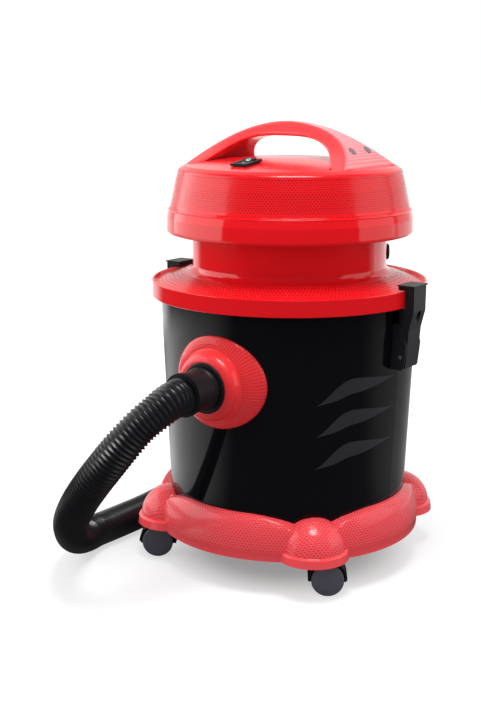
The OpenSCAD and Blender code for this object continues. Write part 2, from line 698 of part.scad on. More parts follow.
// Raised frame round the rocker, with a body that drops through the cover
module switch_frame() {
    color([0.08, 0.08, 0.09]) at_switch() difference() {
        union() {
            translate([-switch_w / 2, -switch_l / 2, 0.9]) cube([switch_w, switch_l, frame_h]);
            translate([-body_w / 2, -body_l / 2, -18]) cube([body_w, body_l, 20]);
        }
        translate([-open_w / 2, -open_l / 2, -8]) cube([open_w, open_l, 22]);
        translate([-open_w / 2 - trunnion_l, 0, 0]) rotate([0, 90, 0]) cylinder(r = trunnion_r, h = open_w + 2 * trunnion_l);
    }
}

// Rocker on its own trunnions, resting with its far end up
module switch_rocker() {
    w = open_w - 2 * free_gap;
    l = open_l - 2 * free_gap;
    color([0.12, 0.12, 0.13]) at_switch() rotate([rocker_tilt, 0, 0]) {
        rotate([90, 0, 90]) translate([0, 0, -w / 2]) linear_extrude(w) polygon([
            [-l / 2 + 2, -4], [-l / 2 + 0.6, 4.6], [-l / 4, 4.3], [0, 3.2], [l / 4, 4.3], [l / 2 - 0.6, 4.6], [l / 2 - 2, -4]]);
        translate([-w / 2 - trunnion_l, 0, 0]) rotate([0, 90, 0]) cylinder(r = trunnion_r - run_gap, h = w + 2 * trunnion_l);
    }
}

// ---------------------------------------------------------------- motor

motor_z = deck_z + 6;
gasket_t = 3;
fan_z = motor_z + gasket_t;
fan_h = 46;
frame_z = fan_z + fan_h;
stator_z = frame_z + 14;
stator_h = 32;
bracket_z = stator_z + stator_h;
shaft_r = shaft_d / 2;
bearing_r = 13;
bearing_h = 7;

// Soft ring under the fan's housing
module motor_gasket() {
    color("dimgray") translate([0, 0, motor_z]) ring(fan_r, fan_r - 14, gasket_t);
}

// Pressed drum round the suction fan, open in the middle below
module fan_housing() {
    color("silver") translate([0, 0, fan_z]) difference() {
        cylinder(r = fan_r, h = fan_h);
        translate([0, 0, 1.5]) cylinder(r = fan_r - 1.5, h = fan_h - 5);
        translate([0, 0, -1]) cylinder(r = mount_hole_r, h = 4);
        translate([0, 0, fan_h - 8]) cylinder(r = shaft_r + 1.5, h = 12);
        for (i = [0:5]) rotate(i * 60) translate([stator_r + 10, 0, fan_h - 6]) cylinder(r = 6, h = 8);
        translate([0, 0, fan_h - 5]) cylinder(r = bearing_r, h = 6);
    }
}

// Iron ring with two poles round the rotor
module motor_stator() {
    color("gray") translate([0, 0, stator_z]) difference() {
        ring(stator_r, 24, stator_h);
        for (a = [0, 180]) rotate(a) translate([0, stator_r - 12, -1]) cylinder(r = 7, h = stator_h + 2);
    }
}

// End frame: a lower ring on legs and an upper bridge that holds the upper bearing
module motor_frame() {
    color("lightgray") {
        difference() {
            union() {
                translate([0, 0, frame_z]) ring(stator_r + 1, stator_r - 4, stator_z - frame_z);
                translate([0, 0, bracket_z]) ring(stator_r + 1, stator_r - 4, 6);
                translate([0, 0, bracket_z]) translate([-stator_r + 2, -9, 0]) cube([2 * stator_r - 4, 18, 6]);
                translate([0, 0, bracket_z]) cylinder(r = bearing_r + 3, h = 6 + bearing_h);
                for (a = [0, 180]) rotate(a) translate([stator_r + 0.2, -8, frame_z]) cube([3.5, 16, bracket_z + 6 - frame_z]);
            }
            translate([0, 0, bracket_z - 1]) cylinder(r = shaft_r + 1.5, h = 20);
            translate([0, 0, bracket_z + 6]) cylinder(r = bearing_r, h = bearing_h + 1);
            for (i = [0:3]) rotate(45 + i * 90) translate([stator_r - 8, -8, frame_z + 3]) cube([16, 16, stator_z - frame_z - 5]);
            for (s = [-1, 1]) translate([s * (bearing_r + 14), 0, bracket_z + 3]) cube([20.02, 9.02, 7], center = true);
        }
    }
}

// Two ball bearings, shown as plain rings on the shaft
module motor_bearings() {
    color("silver") {
        translate([0, 0, fan_z + fan_h - 5]) ring(bearing_r, shaft_r + run_gap, 5);
        translate([0, 0, bracket_z + 6]) ring(bearing_r, shaft_r + run_gap, bearing_h);
    }
}

// Two brush holders that slide into the upper bridge
module brush_holders() {
    color("goldenrod") for (s = [-1, 1]) translate([s * (bearing_r + 14), 0, bracket_z + 3]) cube([20, 9, 6], center = true);
}

// Shaft through both bearings
module rotor_shaft() {
    color("silver") translate([0, 0, fan_z + 6]) cylinder(r = shaft_r, h = bracket_z + 6 + bearing_h - fan_z - 6);
}

// Slotted iron core and commutator on the shaft
module rotor_core() {
    core_r = 22.5;
    color("peru") difference() {
        union() {
            translate([0, 0, stator_z + 1]) cylinder(r = core_r, h = stator_h - 2);
            translate([0, 0, stator_z - 7]) cylinder(r = 12, h = 8 + e);
        }
        for (i = [0:11]) rotate(i * 30) translate([core_r, 0, stator_z]) cylinder(r = 2, h = stator_h + 1);
        translate([0, 0, stator_z - 8]) cylinder(r = shaft_r, h = stator_h + 10);
    }
}

// Suction fan: two discs with curved blades between them
module fan_impeller() {
    imp_r = fan_r - 7;
    color("gainsboro") translate([0, 0, fan_z + 6]) difference() {
        union() {
            cylinder(r = 12, h = 24);
            translate([0, 0, 22]) cylinder(r = imp_r, h = 2);
            difference() {
                cylinder(r = imp_r, h = 1.5);
                translate([0, 0, -1]) cylinder(r = mount_hole_r - 3, h = 4);
            }
            for (i = [0:6]) rotate(i * 360 / 7) intersection() {
                translate([0, -imp_r * 0.42, 0]) ring(imp_r * 0.62, imp_r * 0.62 - 1.6, 22.5);
                translate([0, 0, -1]) ring(imp_r - 1, 14, 30);
                translate([0, -imp_r, -1]) cube([imp_r, imp_r, 40]);
            }
        }
        translate([0, 0, -1]) cylinder(r = shaft_r, h = 40);
    }
}

// ---------------------------------------------------------------- float and filter

cage_r = 34;
cage_h = 62;
cage_z = deck_z + 6 - lid_wall;
float_r = cage_r - 2.5 - free_gap;
float_h = 24;

// Slotted basket under the lid that guides the float
module float_cage() {
    color([0.1, 0.1, 0.1]) translate([0, 0, cage_z - cage_h]) difference() {
        union() {
            cylinder(r = cage_r, h = cage_h);
            translate([0, 0, cage_h - 3]) cylinder(r = filter_r - 1, h = 3);
        }
        translate([0, 0, 3]) cylinder(r = cage_r - 2.5, h = cage_h);
        for (i = [0:7]) rotate(i * 45) translate([cage_r, 0, cage_h / 2 - 2]) cube([20, 12, cage_h - 18], center = true);
    }
}

// Hollow float that rises to close the suction hole
module float_cup() {
    color("gold") translate([0, 0, cage_z - cage_h + 3]) difference() {
        cylinder(r = float_r, h = float_h);
        translate([0, 0, 2]) cylinder(r = float_r - 2, h = float_h - 4);
    }
}

// Cartridge round the cage: end caps with a fabric ring between them
module filter_cartridge() {
    color("ivory") translate([0, 0, cage_z - 3 - filter_h]) ring(filter_r - 1, filter_r - 18, filter_h);
}

// Cap that closes the cartridge below
module filter_cap() {
    color([0.12, 0.12, 0.12]) translate([0, 0, cage_z - 3 - filter_h - 4]) {
        cylinder(r = filter_r, h = 4);
    }
}

// Foam ring that quiets the exhaust above the tray
module exhaust_foam() {
    color("gray") translate([0, 0, neck_z + tray_t]) ring(neck_r + 16, neck_r - 7, 14);
}

// ---------------------------------------------------------------- hose

cuff_out = 40;
hose_r = hose_d / 2;
hose_bore_r = hose_r - 2.5;
exit_y = mouth_y + cuff_out;
lie_z = 22;

// Smooth cuff plugged into the inlet, with a lip where the hose begins
module hose_cuff() {
    color([0.1, 0.1, 0.11]) on_inlet() rotate_extrude() polygon([
        [hose_bore_r, flange_seat - 10], [cuff_r, flange_seat - 10], [cuff_r, mouth_y + 2.5], [cuff_r + 1.6, mouth_y + 4],
        [cuff_r + 1.6, mouth_y + 6], [cuff_r, mouth_y + 8], [cuff_r, exit_y - 5], [cuff_r + 1.5, exit_y - 4],
        [cuff_r + 1.5, exit_y], [hose_bore_r, exit_y]]);
}

hose_side = ring_r + 34;

// Fall from the cuff to the floor: share of hose_side to the left, way past the cuff, share of the height
hose_fall = [
    [0, 0, 1], [0.005, 21, 0.987], [0.03, 38, 0.948], [0.08, 55, 0.888], [0.146, 70, 0.798], [0.228, 79, 0.695],
    [0.335, 81, 0.58], [0.476, 73, 0.442], [0.655, 48, 0.283], [0.825, 10, 0.133], [0.922, -21, 0.047],
    [0.98, -50, 0.006], [1, -74, 0]];
// Run past the dolly on the floor, as shares of hose_side
hose_run = [[-0.995, -0.62], [-0.99, -0.46], [-0.99, -0.24], [-1.01, 0], [-1.03, 0.22], [-0.97, 0.45], [-0.86, 0.65],
    [-0.735, 0.81]];
// Open loop that stores the rest of the hose on the floor behind the tank
loop_c = [-0.99 * hose_side, 1.54 * hose_side];
loop_r0 = 155;
loop_r1 = 142;
loop_a0 = -57;
loop_a1 = 175;
loop_n = 13;
hose_path = concat(
    [for (p = hose_fall) [-p[0] * hose_side, -exit_y - p[1], lie_z + (inlet_z - lie_z) * p[2]]],
    [for (p = hose_run) [p[0] * hose_side, p[1] * hose_side, lie_z]],
    [for (i = [0:loop_n]) let (a = loop_a0 + (loop_a1 - loop_a0) * i / loop_n, r = loop_r0 + (loop_r1 - loop_r0) * i / loop_n)
        [loop_c[0] + r * cos(a), loop_c[1] + r * sin(a), lie_z]]);

function unit(v) = v / norm(v);
function hose_dir(i) = i == 0 ? [0, -1, 0] : i == len(hose_path) - 1 ? end_dir
    : unit(hose_path[i + 1] - hose_path[i - 1]);
end_dir = [-sin(loop_a1), cos(loop_a1), 0];
function ring_at(i, r, n) = let (t = hose_dir(i), b = unit(cross([0, 0, 1], t)), c = cross(t, b))
    [for (k = [0:n - 1]) let (a = 360 * (k + 0.5) / n) hose_path[i] + r * (cos(a) * b + sin(a) * c)];

// Plain tube along the route; its corrugations are left to the finish
module hose() {
    n = 12;
    color([0.1, 0.1, 0.11]) difference() {
        skin([for (i = [0:len(hose_path) - 1]) ring_at(i, hose_r, n)]);
        skin([for (i = [0:len(hose_path) - 1]) ring_at(i, hose_bore_r, n)]);
    }
}

end_len = 85;
end_r = lie_z;

// End fitting that takes a wand or a tool, lying on the floor
module hose_end() {
    p = hose_path[len(hose_path) - 1];
    color([0.1, 0.1, 0.11]) translate(p) rotate(loop_a1 + 90) rotate([0, 90, 0]) difference() {
        union() {
            cylinder(r = end_r, h = 26);
            translate([0, 0, 26]) cylinder(r1 = end_r, r2 = wand_d / 2 + 2.5, h = 8);
            translate([0, 0, 34 - e]) cylinder(r = wand_d / 2 + 2.5, h = end_len - 34);
        }
        translate([0, 0, 30]) cylinder(r = wand_d / 2, h = end_len);
        translate([0, 0, -1]) cylinder(r = wand_d / 2 - 1.5, h = end_len);
    }
}

// ---------------------------------------------------------------- nodes

dolly_ring();
dolly_screws();
caster_bushes();
for (i = [0:3]) {
    caster_hood(i);
    caster_axle(i);
    caster_wheel(i, -1);
    caster_wheel(i, 1);
}
tank_drum();
inlet_flange();
inlet_socket();
inlet_gasket();
inlet_nut();
for (k = [0:1]) {
    clamp_bracket(k);
    clamp_pin(k);
    clamp_lever(k);
}
tank_lid();
lid_seal();
cord_gland();
neck_ring();
head_tray();
head_screws();
head_cover();
carry_handle();
handle_screws();
screw_caps();
switch_frame();
switch_rocker();
motor_gasket();
fan_housing();
motor_stator();
motor_frame();
motor_bearings();
brush_holders();
rotor_shaft();
rotor_core();
fan_impeller();
float_cage();
float_cup();
filter_cartridge();
filter_cap();
exhaust_foam();
hose_cuff();
hose();
hose_end();
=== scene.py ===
import math

import bmesh
import bpy
import numpy as np
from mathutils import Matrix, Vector


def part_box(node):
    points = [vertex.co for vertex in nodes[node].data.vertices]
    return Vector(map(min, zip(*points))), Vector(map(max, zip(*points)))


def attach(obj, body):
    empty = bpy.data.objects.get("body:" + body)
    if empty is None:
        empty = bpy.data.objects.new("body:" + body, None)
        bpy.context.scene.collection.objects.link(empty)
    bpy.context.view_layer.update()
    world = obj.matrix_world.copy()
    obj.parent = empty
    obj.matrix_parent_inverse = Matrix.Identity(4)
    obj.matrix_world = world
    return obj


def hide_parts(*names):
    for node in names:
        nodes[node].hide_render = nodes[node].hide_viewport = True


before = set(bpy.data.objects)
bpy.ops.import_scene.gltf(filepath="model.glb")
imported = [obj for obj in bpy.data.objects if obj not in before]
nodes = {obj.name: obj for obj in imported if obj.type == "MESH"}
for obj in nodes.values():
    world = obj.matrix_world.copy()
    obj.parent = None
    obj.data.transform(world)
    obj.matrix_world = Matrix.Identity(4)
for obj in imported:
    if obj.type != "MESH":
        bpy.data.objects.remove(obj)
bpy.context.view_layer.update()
scene = bpy.context.scene
scene.view_settings.view_transform = "Standard"

# ---- camera ----
# A portrait view from the front right, a little above the lid, through a long lens.
camera_data = bpy.data.cameras.new("view_camera")
camera_data.sensor_fit = "HORIZONTAL"
camera_data.sensor_width = 36.0
camera_data.lens = 90.9
camera = bpy.data.objects.new("view_camera", camera_data)
scene.collection.objects.link(camera)
camera.location = (0.837, -1.289, 0.609)
camera.rotation_mode = "QUATERNION"
camera.rotation_quaternion = Vector((-0.563, 0.795, -0.225)).to_track_quat("-Z", "Y")
scene.camera = camera


# ---- hose ----
# Stretch hose of soft black vinyl over a steel wire, so every turn of the wire is a rib. It leaves the cuff,
# falls in one bend to the floor beside the tank, and lies in an open loop behind it. Its ribs close up where it
# is slack.
class Term:
    """A socket in a material. Plain arithmetic on it adds the Math nodes."""

    def __init__(self, made, socket):
        self.made, self.socket = made, socket

    def maths(self, operation, *terms):
        return self.made.maths(operation, *terms)

    def __add__(self, other):
        return self.maths("ADD", self, other)

    def __sub__(self, other):
        return self.maths("SUBTRACT", self, other)

    def __rsub__(self, other):
        return self.maths("SUBTRACT", other, self)

    def __mul__(self, other):
        return self.maths("MULTIPLY", self, other)

    def __truediv__(self, other):
        return self.maths("DIVIDE", self, other)

    def __pow__(self, other):
        return self.maths("POWER", self, other)

    def __mod__(self, other):
        return self.maths("FLOORED_MODULO", self, other)

    def __abs__(self):
        return self.maths("ABSOLUTE", self)

    def fade(self, start, end):
        """0 before start, 1 after end, with a soft step between them."""
        settings = {"interpolation_type": "SMOOTHSTEP"}
        return self.made.node("ShaderNodeMapRange", settings, self, start, end, 0.0, 1.0)


class Sheet:
    """A node tree: node() adds any node, maths() a Math node, and mix() blends two colours."""

    def __init__(self, tree):
        self.tree = tree

    def node(self, kind, settings, *inputs, out=0, **named):
        made = self.tree.nodes.new(kind)
        for key, value in settings.items():
            setattr(made, key, value)
        for key, value in list(enumerate(inputs)) + list(named.items()):
            socket = made.inputs[key.replace("_", " ") if isinstance(key, str) else key]
            if isinstance(value, Term):
                self.tree.links.new(value.socket, socket)
            else:
                socket.default_value = value
        return Term(self, made.outputs[out])

    def maths(self, operation, *terms):
        return self.node("ShaderNodeMath", {"operation": operation}, *terms)

    def mix(self, factor, a, b):
        """Colour a where factor is 0 and b where it is 1."""
        made = self.tree.nodes.new("ShaderNodeMix")
        made.data_type = "RGBA"
        for socket, value in ((made.inputs[0], factor), (made.inputs[6], a), (made.inputs[7], b)):
            if isinstance(value, Term):
                self.tree.links.new(value.socket, socket)
            else:
                socket.default_value = (*value, 1.0)
        return Term(self, made.outputs[2])


class Finish(Sheet):
    """A material: its constants go on the shader's own sockets."""

    def __init__(self, name, **constants):
        self.material = bpy.data.materials.new(name)
        self.material.use_nodes = True
        super().__init__(self.material.node_tree)
        self.shader = self.tree.nodes["Principled BSDF"]
        for key, value in constants.items():
            self.shader.inputs[key.replace("_", " ")].default_value = value

    def parts(self, vector):
        """The x, y and z of a vector."""
        split = self.node("ShaderNodeSeparateXYZ", {}, vector).socket.node
        return [Term(self, output) for output in split.outputs]

    def place(self):
        """Where a point of the piece lies, in metres."""
        return self.parts(self.node("ShaderNodeTexCoord", {}, out="Object"))

    def facing(self):
        """The direction that the surface faces at a point."""
        return self.parts(self.node("ShaderNodeNewGeometry", {}, out="Normal"))

    def noise(self, scale, detail=2.0):
        spot = self.node("ShaderNodeTexCoord", {}, out="Object")
        return self.node("ShaderNodeTexNoise", {}, Vector=spot, Scale=scale, Detail=detail)

    def feed(self, socket, term):
        """Lets a term set one of the shader's own sockets."""
        self.tree.links.new(term.socket, self.shader.inputs[socket])

    def bump(self, height, distance, strength=1.0):
        """Raises or sinks the surface by height times distance, in metres."""
        settings = {"Strength": strength, "Distance": distance, "Height": height}
        self.feed("Normal", self.node("ShaderNodeBump", {}, **settings))


def moulded(name, colour, rough, grain=900.0, depth=0.00004, patch=0.06, **constants):
    """A moulded or pressed finish: a fine grain in the surface and a slow change of gloss over it."""
    made = Finish(name, Base_Color=(*colour, 1.0), **constants)
    made.feed("Roughness", made.noise(18.0, 3.0) * patch + (rough - patch / 2))
    made.bump(made.noise(grain, 2.0), depth)
    return made


def linked(name, data):
    """An object with this data, in the scene."""
    made = bpy.data.objects.new(name, data)
    scene.collection.objects.link(made)
    return made


def piece(name, data, finish, smooth):
    """A visible piece with this mesh and finish. Edges sharper than smooth degrees stay sharp."""
    data.polygons.foreach_set("use_smooth", [True] * len(data.polygons))
    data.set_sharp_from_angle(angle=math.radians(smooth))
    data.materials.clear()
    data.materials.append(finish.material)
    return linked(name, data)


def skinned(name, rings, wrap=False):
    """A mesh over rings of equally many corners. wrap joins the last to the first, or else both are closed."""
    count, size = len(rings), len(rings[0])
    faces = []
    for i in range(count if wrap else count - 1):
        here, there = i * size, (i + 1) % count * size
        for j in range(size):
            k = (j + 1) % size
            faces.append((here + j, here + k, there + k, there + j))
    if not wrap:
        faces += [tuple(reversed(range(size))), tuple(range((count - 1) * size, count * size))]
    data = bpy.data.meshes.new(name)
    data.from_pydata([tuple(map(float, p)) for ring in rings for p in ring], [], faces)
    return data


def smooth_line(points, step):
    """Points about step apart on a smooth curve through the given ones."""
    p = np.array(points, float)
    p = np.vstack([2 * p[0] - p[1], p, 2 * p[-1] - p[-2]])
    line = []
    for a, b, c, d in zip(p, p[1:], p[2:], p[3:]):
        count = max(2, int(np.linalg.norm(c - b) / step))
        for t in np.arange(count) / count:
            line.append(b + 0.5 * t * (c - a + t * (2 * a - 5 * b + 4 * c - d + t * (3 * (b - c) + d - a))))
    line.append(p[-2])
    return np.array(line)


# Where the hose leaves the cuff, how high its middle lies on the floor, and how far to the left its fall
# reaches. A point of fall is a share of that reach, the metres in front of the cuff's end, and a share of the
# drop. A point of run, on the floor beside the tank, is in shares of the reach.
exit_y, inlet_z, lie_z = 0.22382, 0.255, 0.022
hose_side = 0.206
fall = [(0, 0, 1), (0.005, 0.021, 0.987), (0.03, 0.038, 0.948), (0.08, 0.055, 0.888), (0.146, 0.07, 0.798),
        (0.228, 0.079, 0.695), (0.335, 0.081, 0.58), (0.476, 0.073, 0.442), (0.655, 0.048, 0.283),
        (0.825, 0.01, 0.133), (0.922, -0.021, 0.047), (0.98, -0.05, 0.006), (1, -0.074, 0)]
run = [(-0.995, -0.62), (-0.99, -0.46), (-0.99, -0.24), (-1.01, 0), (-1.03, 0.22), (-0.97, 0.45),
       (-0.86, 0.65), (-0.735, 0.81)]
hose_line = [(-a * hose_side, -exit_y - b, lie_z + (inlet_z - lie_z) * c) for a, b, c in fall]
hose_line += [(a * hose_side, b * hose_side, lie_z) for a, b in run]
# Behind the tank the hose turns in one loop, which closes in a little.
loop_x, loop_y, loop_steps = -0.99 * hose_side, 1.54 * hose_side, 13
loop_start, loop_end = -57, 175
loop_wide, loop_tight = 0.155, 0.142
for turn in range(loop_steps + 1):
    angle = math.radians(loop_start + (loop_end - loop_start) * turn / loop_steps)
    reach = loop_wide + (loop_tight - loop_wide) * turn / loop_steps
    hose_line.append((loop_x + reach * math.cos(angle), loop_y + reach * math.sin(angle), lie_z))

line_step = 0.0004
line = smooth_line(hose_line, line_step)
along = np.concatenate([[0], np.cumsum(np.linalg.norm(np.diff(line, axis=0), axis=1))])
hose_length = float(along[-1])
# The rib's pitch is widest by the cuff and closes up in the bend at the floor.
pitch = np.interp(along, [0, 0.16, 0.26, 0.34, 0.4, hose_length],
                  [0.0054, 0.0050, 0.0042, 0.0034, 0.0030, 0.0030])
turns = np.concatenate([[0], np.cumsum(np.diff(along) / ((pitch[1:] + pitch[:-1]) / 2))])
rib_rings = 8
count = int(turns[-1]) * rib_rings
phase = np.linspace(0, int(turns[-1]), count + 1)
spot = np.interp(phase, turns, along)
centre = np.stack([np.interp(spot, along, line[:, k]) for k in range(3)], axis=1)
tangent = np.gradient(centre, axis=0)
tangent /= np.linalg.norm(tangent, axis=1)[:, None]
side = np.cross([0.0, 0.0, 1.0], tangent)
side /= np.linalg.norm(side, axis=1)[:, None]
lift = np.cross(tangent, side)
rib_depth = np.interp(spot, [0, 0.2, 0.34, 0.42, hose_length], [0.0024, 0.0023, 0.0014, 0.0009, 0.0009])
rib_outer, hose_mouth = 0.0218, 0.0185
rib_radius = rib_outer - rib_depth * np.abs(np.cos(math.pi * phase)) ** 1.2
rib_radius[0] = rib_radius[-1] = hose_mouth
hose_sides = 40
round_hose = np.arange(hose_sides) * math.tau / hose_sides
rings = []
for c, b, n, r in zip(centre, side, lift, rib_radius):
    rings.append([c + r * (math.cos(a) * b + math.sin(a) * n) for a in round_hose])

vinyl = moulded("hose_vinyl", (0.009, 0.009, 0.011), 0.33, grain=700.0, depth=0.00004,
                Specular_IOR_Level=0.5)
hose = piece("hose_ribs", skinned("hose_ribs", rings), vinyl, smooth=60.0)
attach(hose, "vacuum")
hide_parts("hose")

# The cuff and the end fitting are satin black mouldings with a fine spark grain.
satin_colour = (0.011, 0.012, 0.014)
satin = moulded("satin_black", satin_colour, 0.4, grain=1100.0, depth=0.00003, Specular_IOR_Level=0.2)
for name in ("hose_cuff", "hose_end"):
    nodes[name].data.materials[0] = satin.material

# ---- tank ----
# Blow-moulded drum of gloss black plastic. Three plain grey stripes sweep along its right front side.
drum = Finish("drum_black", Specular_IOR_Level=0.24)
x, y, z = drum.place()
heading = drum.maths("ARCTAN2", x, 0.0 - y)
stripe_start, stripe_span = math.radians(44), math.radians(47)
stripes = None
for tip in (0.233, 0.194, 0.154):
    sweep = (heading - stripe_start) / stripe_span
    middle = sweep.fade(-0.05, 0.4) * 0.021 + sweep * 0.006 + tip
    half = sweep.fade(0.0, 0.3) * (1.0 - sweep.fade(0.35, 1.0)) * 0.0095
    band = (half - abs(z - middle)).fade(-0.0001, 0.0005)
    stripes = band if stripes is None else stripes.maths("MAXIMUM", stripes, band)
drum.feed("Base Color", drum.mix(stripes, (0.004, 0.004, 0.005), (0.03, 0.03, 0.035)))
drum.feed("Roughness", drum.noise(9.0, 2.0) * 0.03 + 0.045 + stripes * 0.3)
drum.bump(drum.noise(5.0, 1.0), 0.0004, 0.3)
nodes["tank_drum"].data.materials[0] = drum.material

# ---- red mouldings ----
# Glossy red plastic. The bands, the neck and the grip are smooth, and the broad faces carry rows of small
# dimples that come from the mould.
# The darkest red is painted shade in the dimples' pits, and the pale red is painted sheen.
red, dent_shade_red, painted_sheen_red = (0.82, 0.009, 0.014), (0.34, 0.004, 0.008), (0.9, 0.04, 0.045)


def dimples(around, rows, wide, offset=0.5):
    """1 in each dimple, 0 between them. In a row they are wide apart, and odd rows are shifted by offset."""
    across = around / wide + (rows.maths("FLOOR", rows) % 2.0) * offset
    off_x, off_y = across % 1.0 - 0.5, rows % 1.0 - 0.5
    return 1.0 - ((off_x * off_x + off_y * off_y) ** 0.5).fade(0.2, 0.4)


def dimpled(name, terms, wide, high, offset=0.5, sink=0.0003, colour=red, dent_shade=0.85, shallow=0.0):
    """Red plastic with rows of dimples, each darkened with painted shade in its pit.

    terms gives the way around, the way down the rows and where the dimples are. shallow is how much of their
    depth is gone where the face lies level.
    """
    made = Finish(name, Specular_IOR_Level=0.5)
    around, down, mask = terms(made)
    dent = dimples(around, down / high, wide, offset) * mask
    # Painted shade: each dimple is darkened towards the darkest red.
    made.feed("Base Color", made.mix(dent * dent_shade, colour, dent_shade_red))
    made.feed("Roughness", made.noise(14.0, 3.0) * 0.04 + mask * 0.06 + 0.09)
    level = made.facing()[2].fade(0.75, 0.9)
    made.bump(made.noise(260.0) * 0.015 - dent * (1.0 - level * shallow), sink, 0.8)
    return made


def round_upright(radius, bottom, top, inner=0.0, outer=1.0):
    """The terms of a piece that is round about the vertical, with dimples between two heights and two radii."""
    edge = 0.0004

    def terms(made):
        x, y, z = made.place()
        reach = (x * x + y * y) ** 0.5
        around = made.maths("ARCTAN2", y, x) * radius
        mask = z.fade(bottom, bottom + edge) * (1.0 - z.fade(top - edge, top))
        mask = mask * reach.fade(inner, inner + 0.002) * (1.0 - reach.fade(outer - 0.001, outer))
        return around, reach - z, mask
    return terms


smooth_red = moulded("smooth_red", red, 0.1, patch=0.03, grain=600.0, depth=0.00002)
head_r, head_wide, head_high = 0.1495, 0.004, 0.00325
head_red = dimpled("head_red", round_upright(head_r, 0.4585, 0.6, 0.04), head_wide, head_high,
                   sink=0.00012, shallow=0.85)
lid_red = dimpled("lid_red", round_upright(0.15, 0.3605, 0.3735, 0.132, 0.17), 0.0045, 0.0066)
# The dolly's paler, pinker red is painted light and sheen on the same red plastic; its dimples get half the
# painted shade.
dolly_red = dimpled("dolly_red", round_upright(0.16, 0.0575, 0.12), 0.0042, 0.0036, sink=0.00022,
                    colour=(0.97, 0.085, 0.1), dent_shade=0.5)


def round_inlet(made):
    """The terms of the inlet flange, round about the inlet's axis. The groove between its steps is plain."""
    x, y, z = made.place()
    up = z - inlet_z
    reach = (x * x + up * up) ** 0.5
    around = made.maths("ARCTAN2", up, x) * 0.045
    groove = reach.fade(0.0412, 0.0418) * (1.0 - reach.fade(0.0447, 0.0453))
    return around, reach + y, 1.0 - groove


# The flange's paler red is painted sheen on the red plastic.
inlet_red = dimpled("inlet_red", round_inlet, 0.003, 0.0033, offset=0.0, sink=0.00015, colour=painted_sheen_red,
                    dent_shade=0.5)


def grip_finish():
    """The handle is smooth in front and under the grip, and dimpled over its broad outer faces. Its red is
    paler, most on the upward outer faces, as painted sheen.
    """
    made = Finish("grip_red")
    x, y, z = made.place()
    outward, across, up = made.facing()
    outward = outward * x.maths("SIGN", x)
    outer = up.fade(0.1, 0.3) * (1.0 - abs(across).fade(0.27, 0.42)) * outward.fade(-0.3, -0.1)
    dent = dimples(y, abs(x) / 0.003, 0.0042) * (outer * abs(x).fade(0.045, 0.06))
    # Painted sheen: the front is a paler red and the upward outer faces a pale pink, while the dimples keep the
    # plain red.
    plain = made.mix(outer, (0.84, 0.05, 0.055), (0.86, 0.25, 0.27))
    made.feed("Base Color", made.mix(dent * 0.7, plain, red))
    made.feed("Roughness", made.noise(18.0, 3.0) * 0.04 + outer * 0.1 + 0.16)
    made.bump(made.noise(600.0) * 0.02 - dent, 0.0002, 0.8)
    return made


def tray_finish():
    """The smooth band round the head's foot. A bead ends it, and over that it has the dimples of the cover,
    darkened with painted shade.
    """
    made = Finish("tray_red")
    x, y, z = made.place()
    rows = ((x * x + y * y) ** 0.5 - z) / head_high
    dent = dimples(made.maths("ARCTAN2", y, x) * head_r, rows, head_wide) * z.fade(0.454, 0.4544)
    bead = 1.0 - abs(z - 0.4525).fade(0.0, 0.0011)
    made.feed("Base Color", made.mix(dent * 0.85, red, dent_shade_red))
    made.feed("Roughness", made.noise(18.0, 3.0) * 0.03 + 0.07)
    made.bump(made.noise(600.0) * 0.01 + bead * 2.4 - dent * 0.35, 0.0003, 0.9)
    return made


tray_red, grip_red = tray_finish(), grip_finish()
for name, finish in (("head_cover", head_red), ("tank_lid", lid_red), ("dolly_ring", dolly_red),
                     ("inlet_flange", inlet_red), ("head_tray", tray_red), ("carry_handle", grip_red),
                     ("neck_ring", smooth_red)):
    nodes[name].data.materials[0] = finish.material

# ---- dolly ring ----
# Red moulding, hollow underneath, with a pan that carries the tank. The top of each side is an arch that falls
# towards the domes over the casters, and each dome stands on a flared foot. The ring's height and width and the
# domes' places are those of the solid.
ring_r, ring_top, band_top, ring_foot = 0.172, 0.098, 0.056, 0.045
shell = 0.003
dome_r, dome_pitch, dome_z = 0.0396, 0.154, 0.0554
pan_r, pan_foot, shelf_under, shelf_top = 0.123, 0.049, 0.066, 0.0697
# The gap round the tank, the wall round it with that gap, how far the hollow lies under the arch, and how near
# to an axis an outline about it ends.
seat, tank_wall, under_arch, on_axis = 0.0004, 0.0042, 0.0034, 0.0002


def tank_radius(z):
    """The drum's outer radius at a height. It widens evenly from its foot."""
    return 0.152 + 0.012 * (z - 0.07) / 0.284


def arch_height(offset):
    """Height of a side's top at this distance from its middle: level, then falling to the domes."""
    level, end, drop = 0.03, dome_pitch * math.sqrt(0.5) - 0.011, 0.02
    share = min(max((abs(offset) - level) / (end - level), 0.0), 1.0)
    return ring_top - drop + (drop + 0.0005) * math.sqrt(1.0 - share * share)


def soft_least(a, b, blend):
    """The lesser of two heights, rounded where they cross."""
    share = max(blend - abs(a - b), 0.0) / blend
    return min(a, b) - share * share * blend / 4


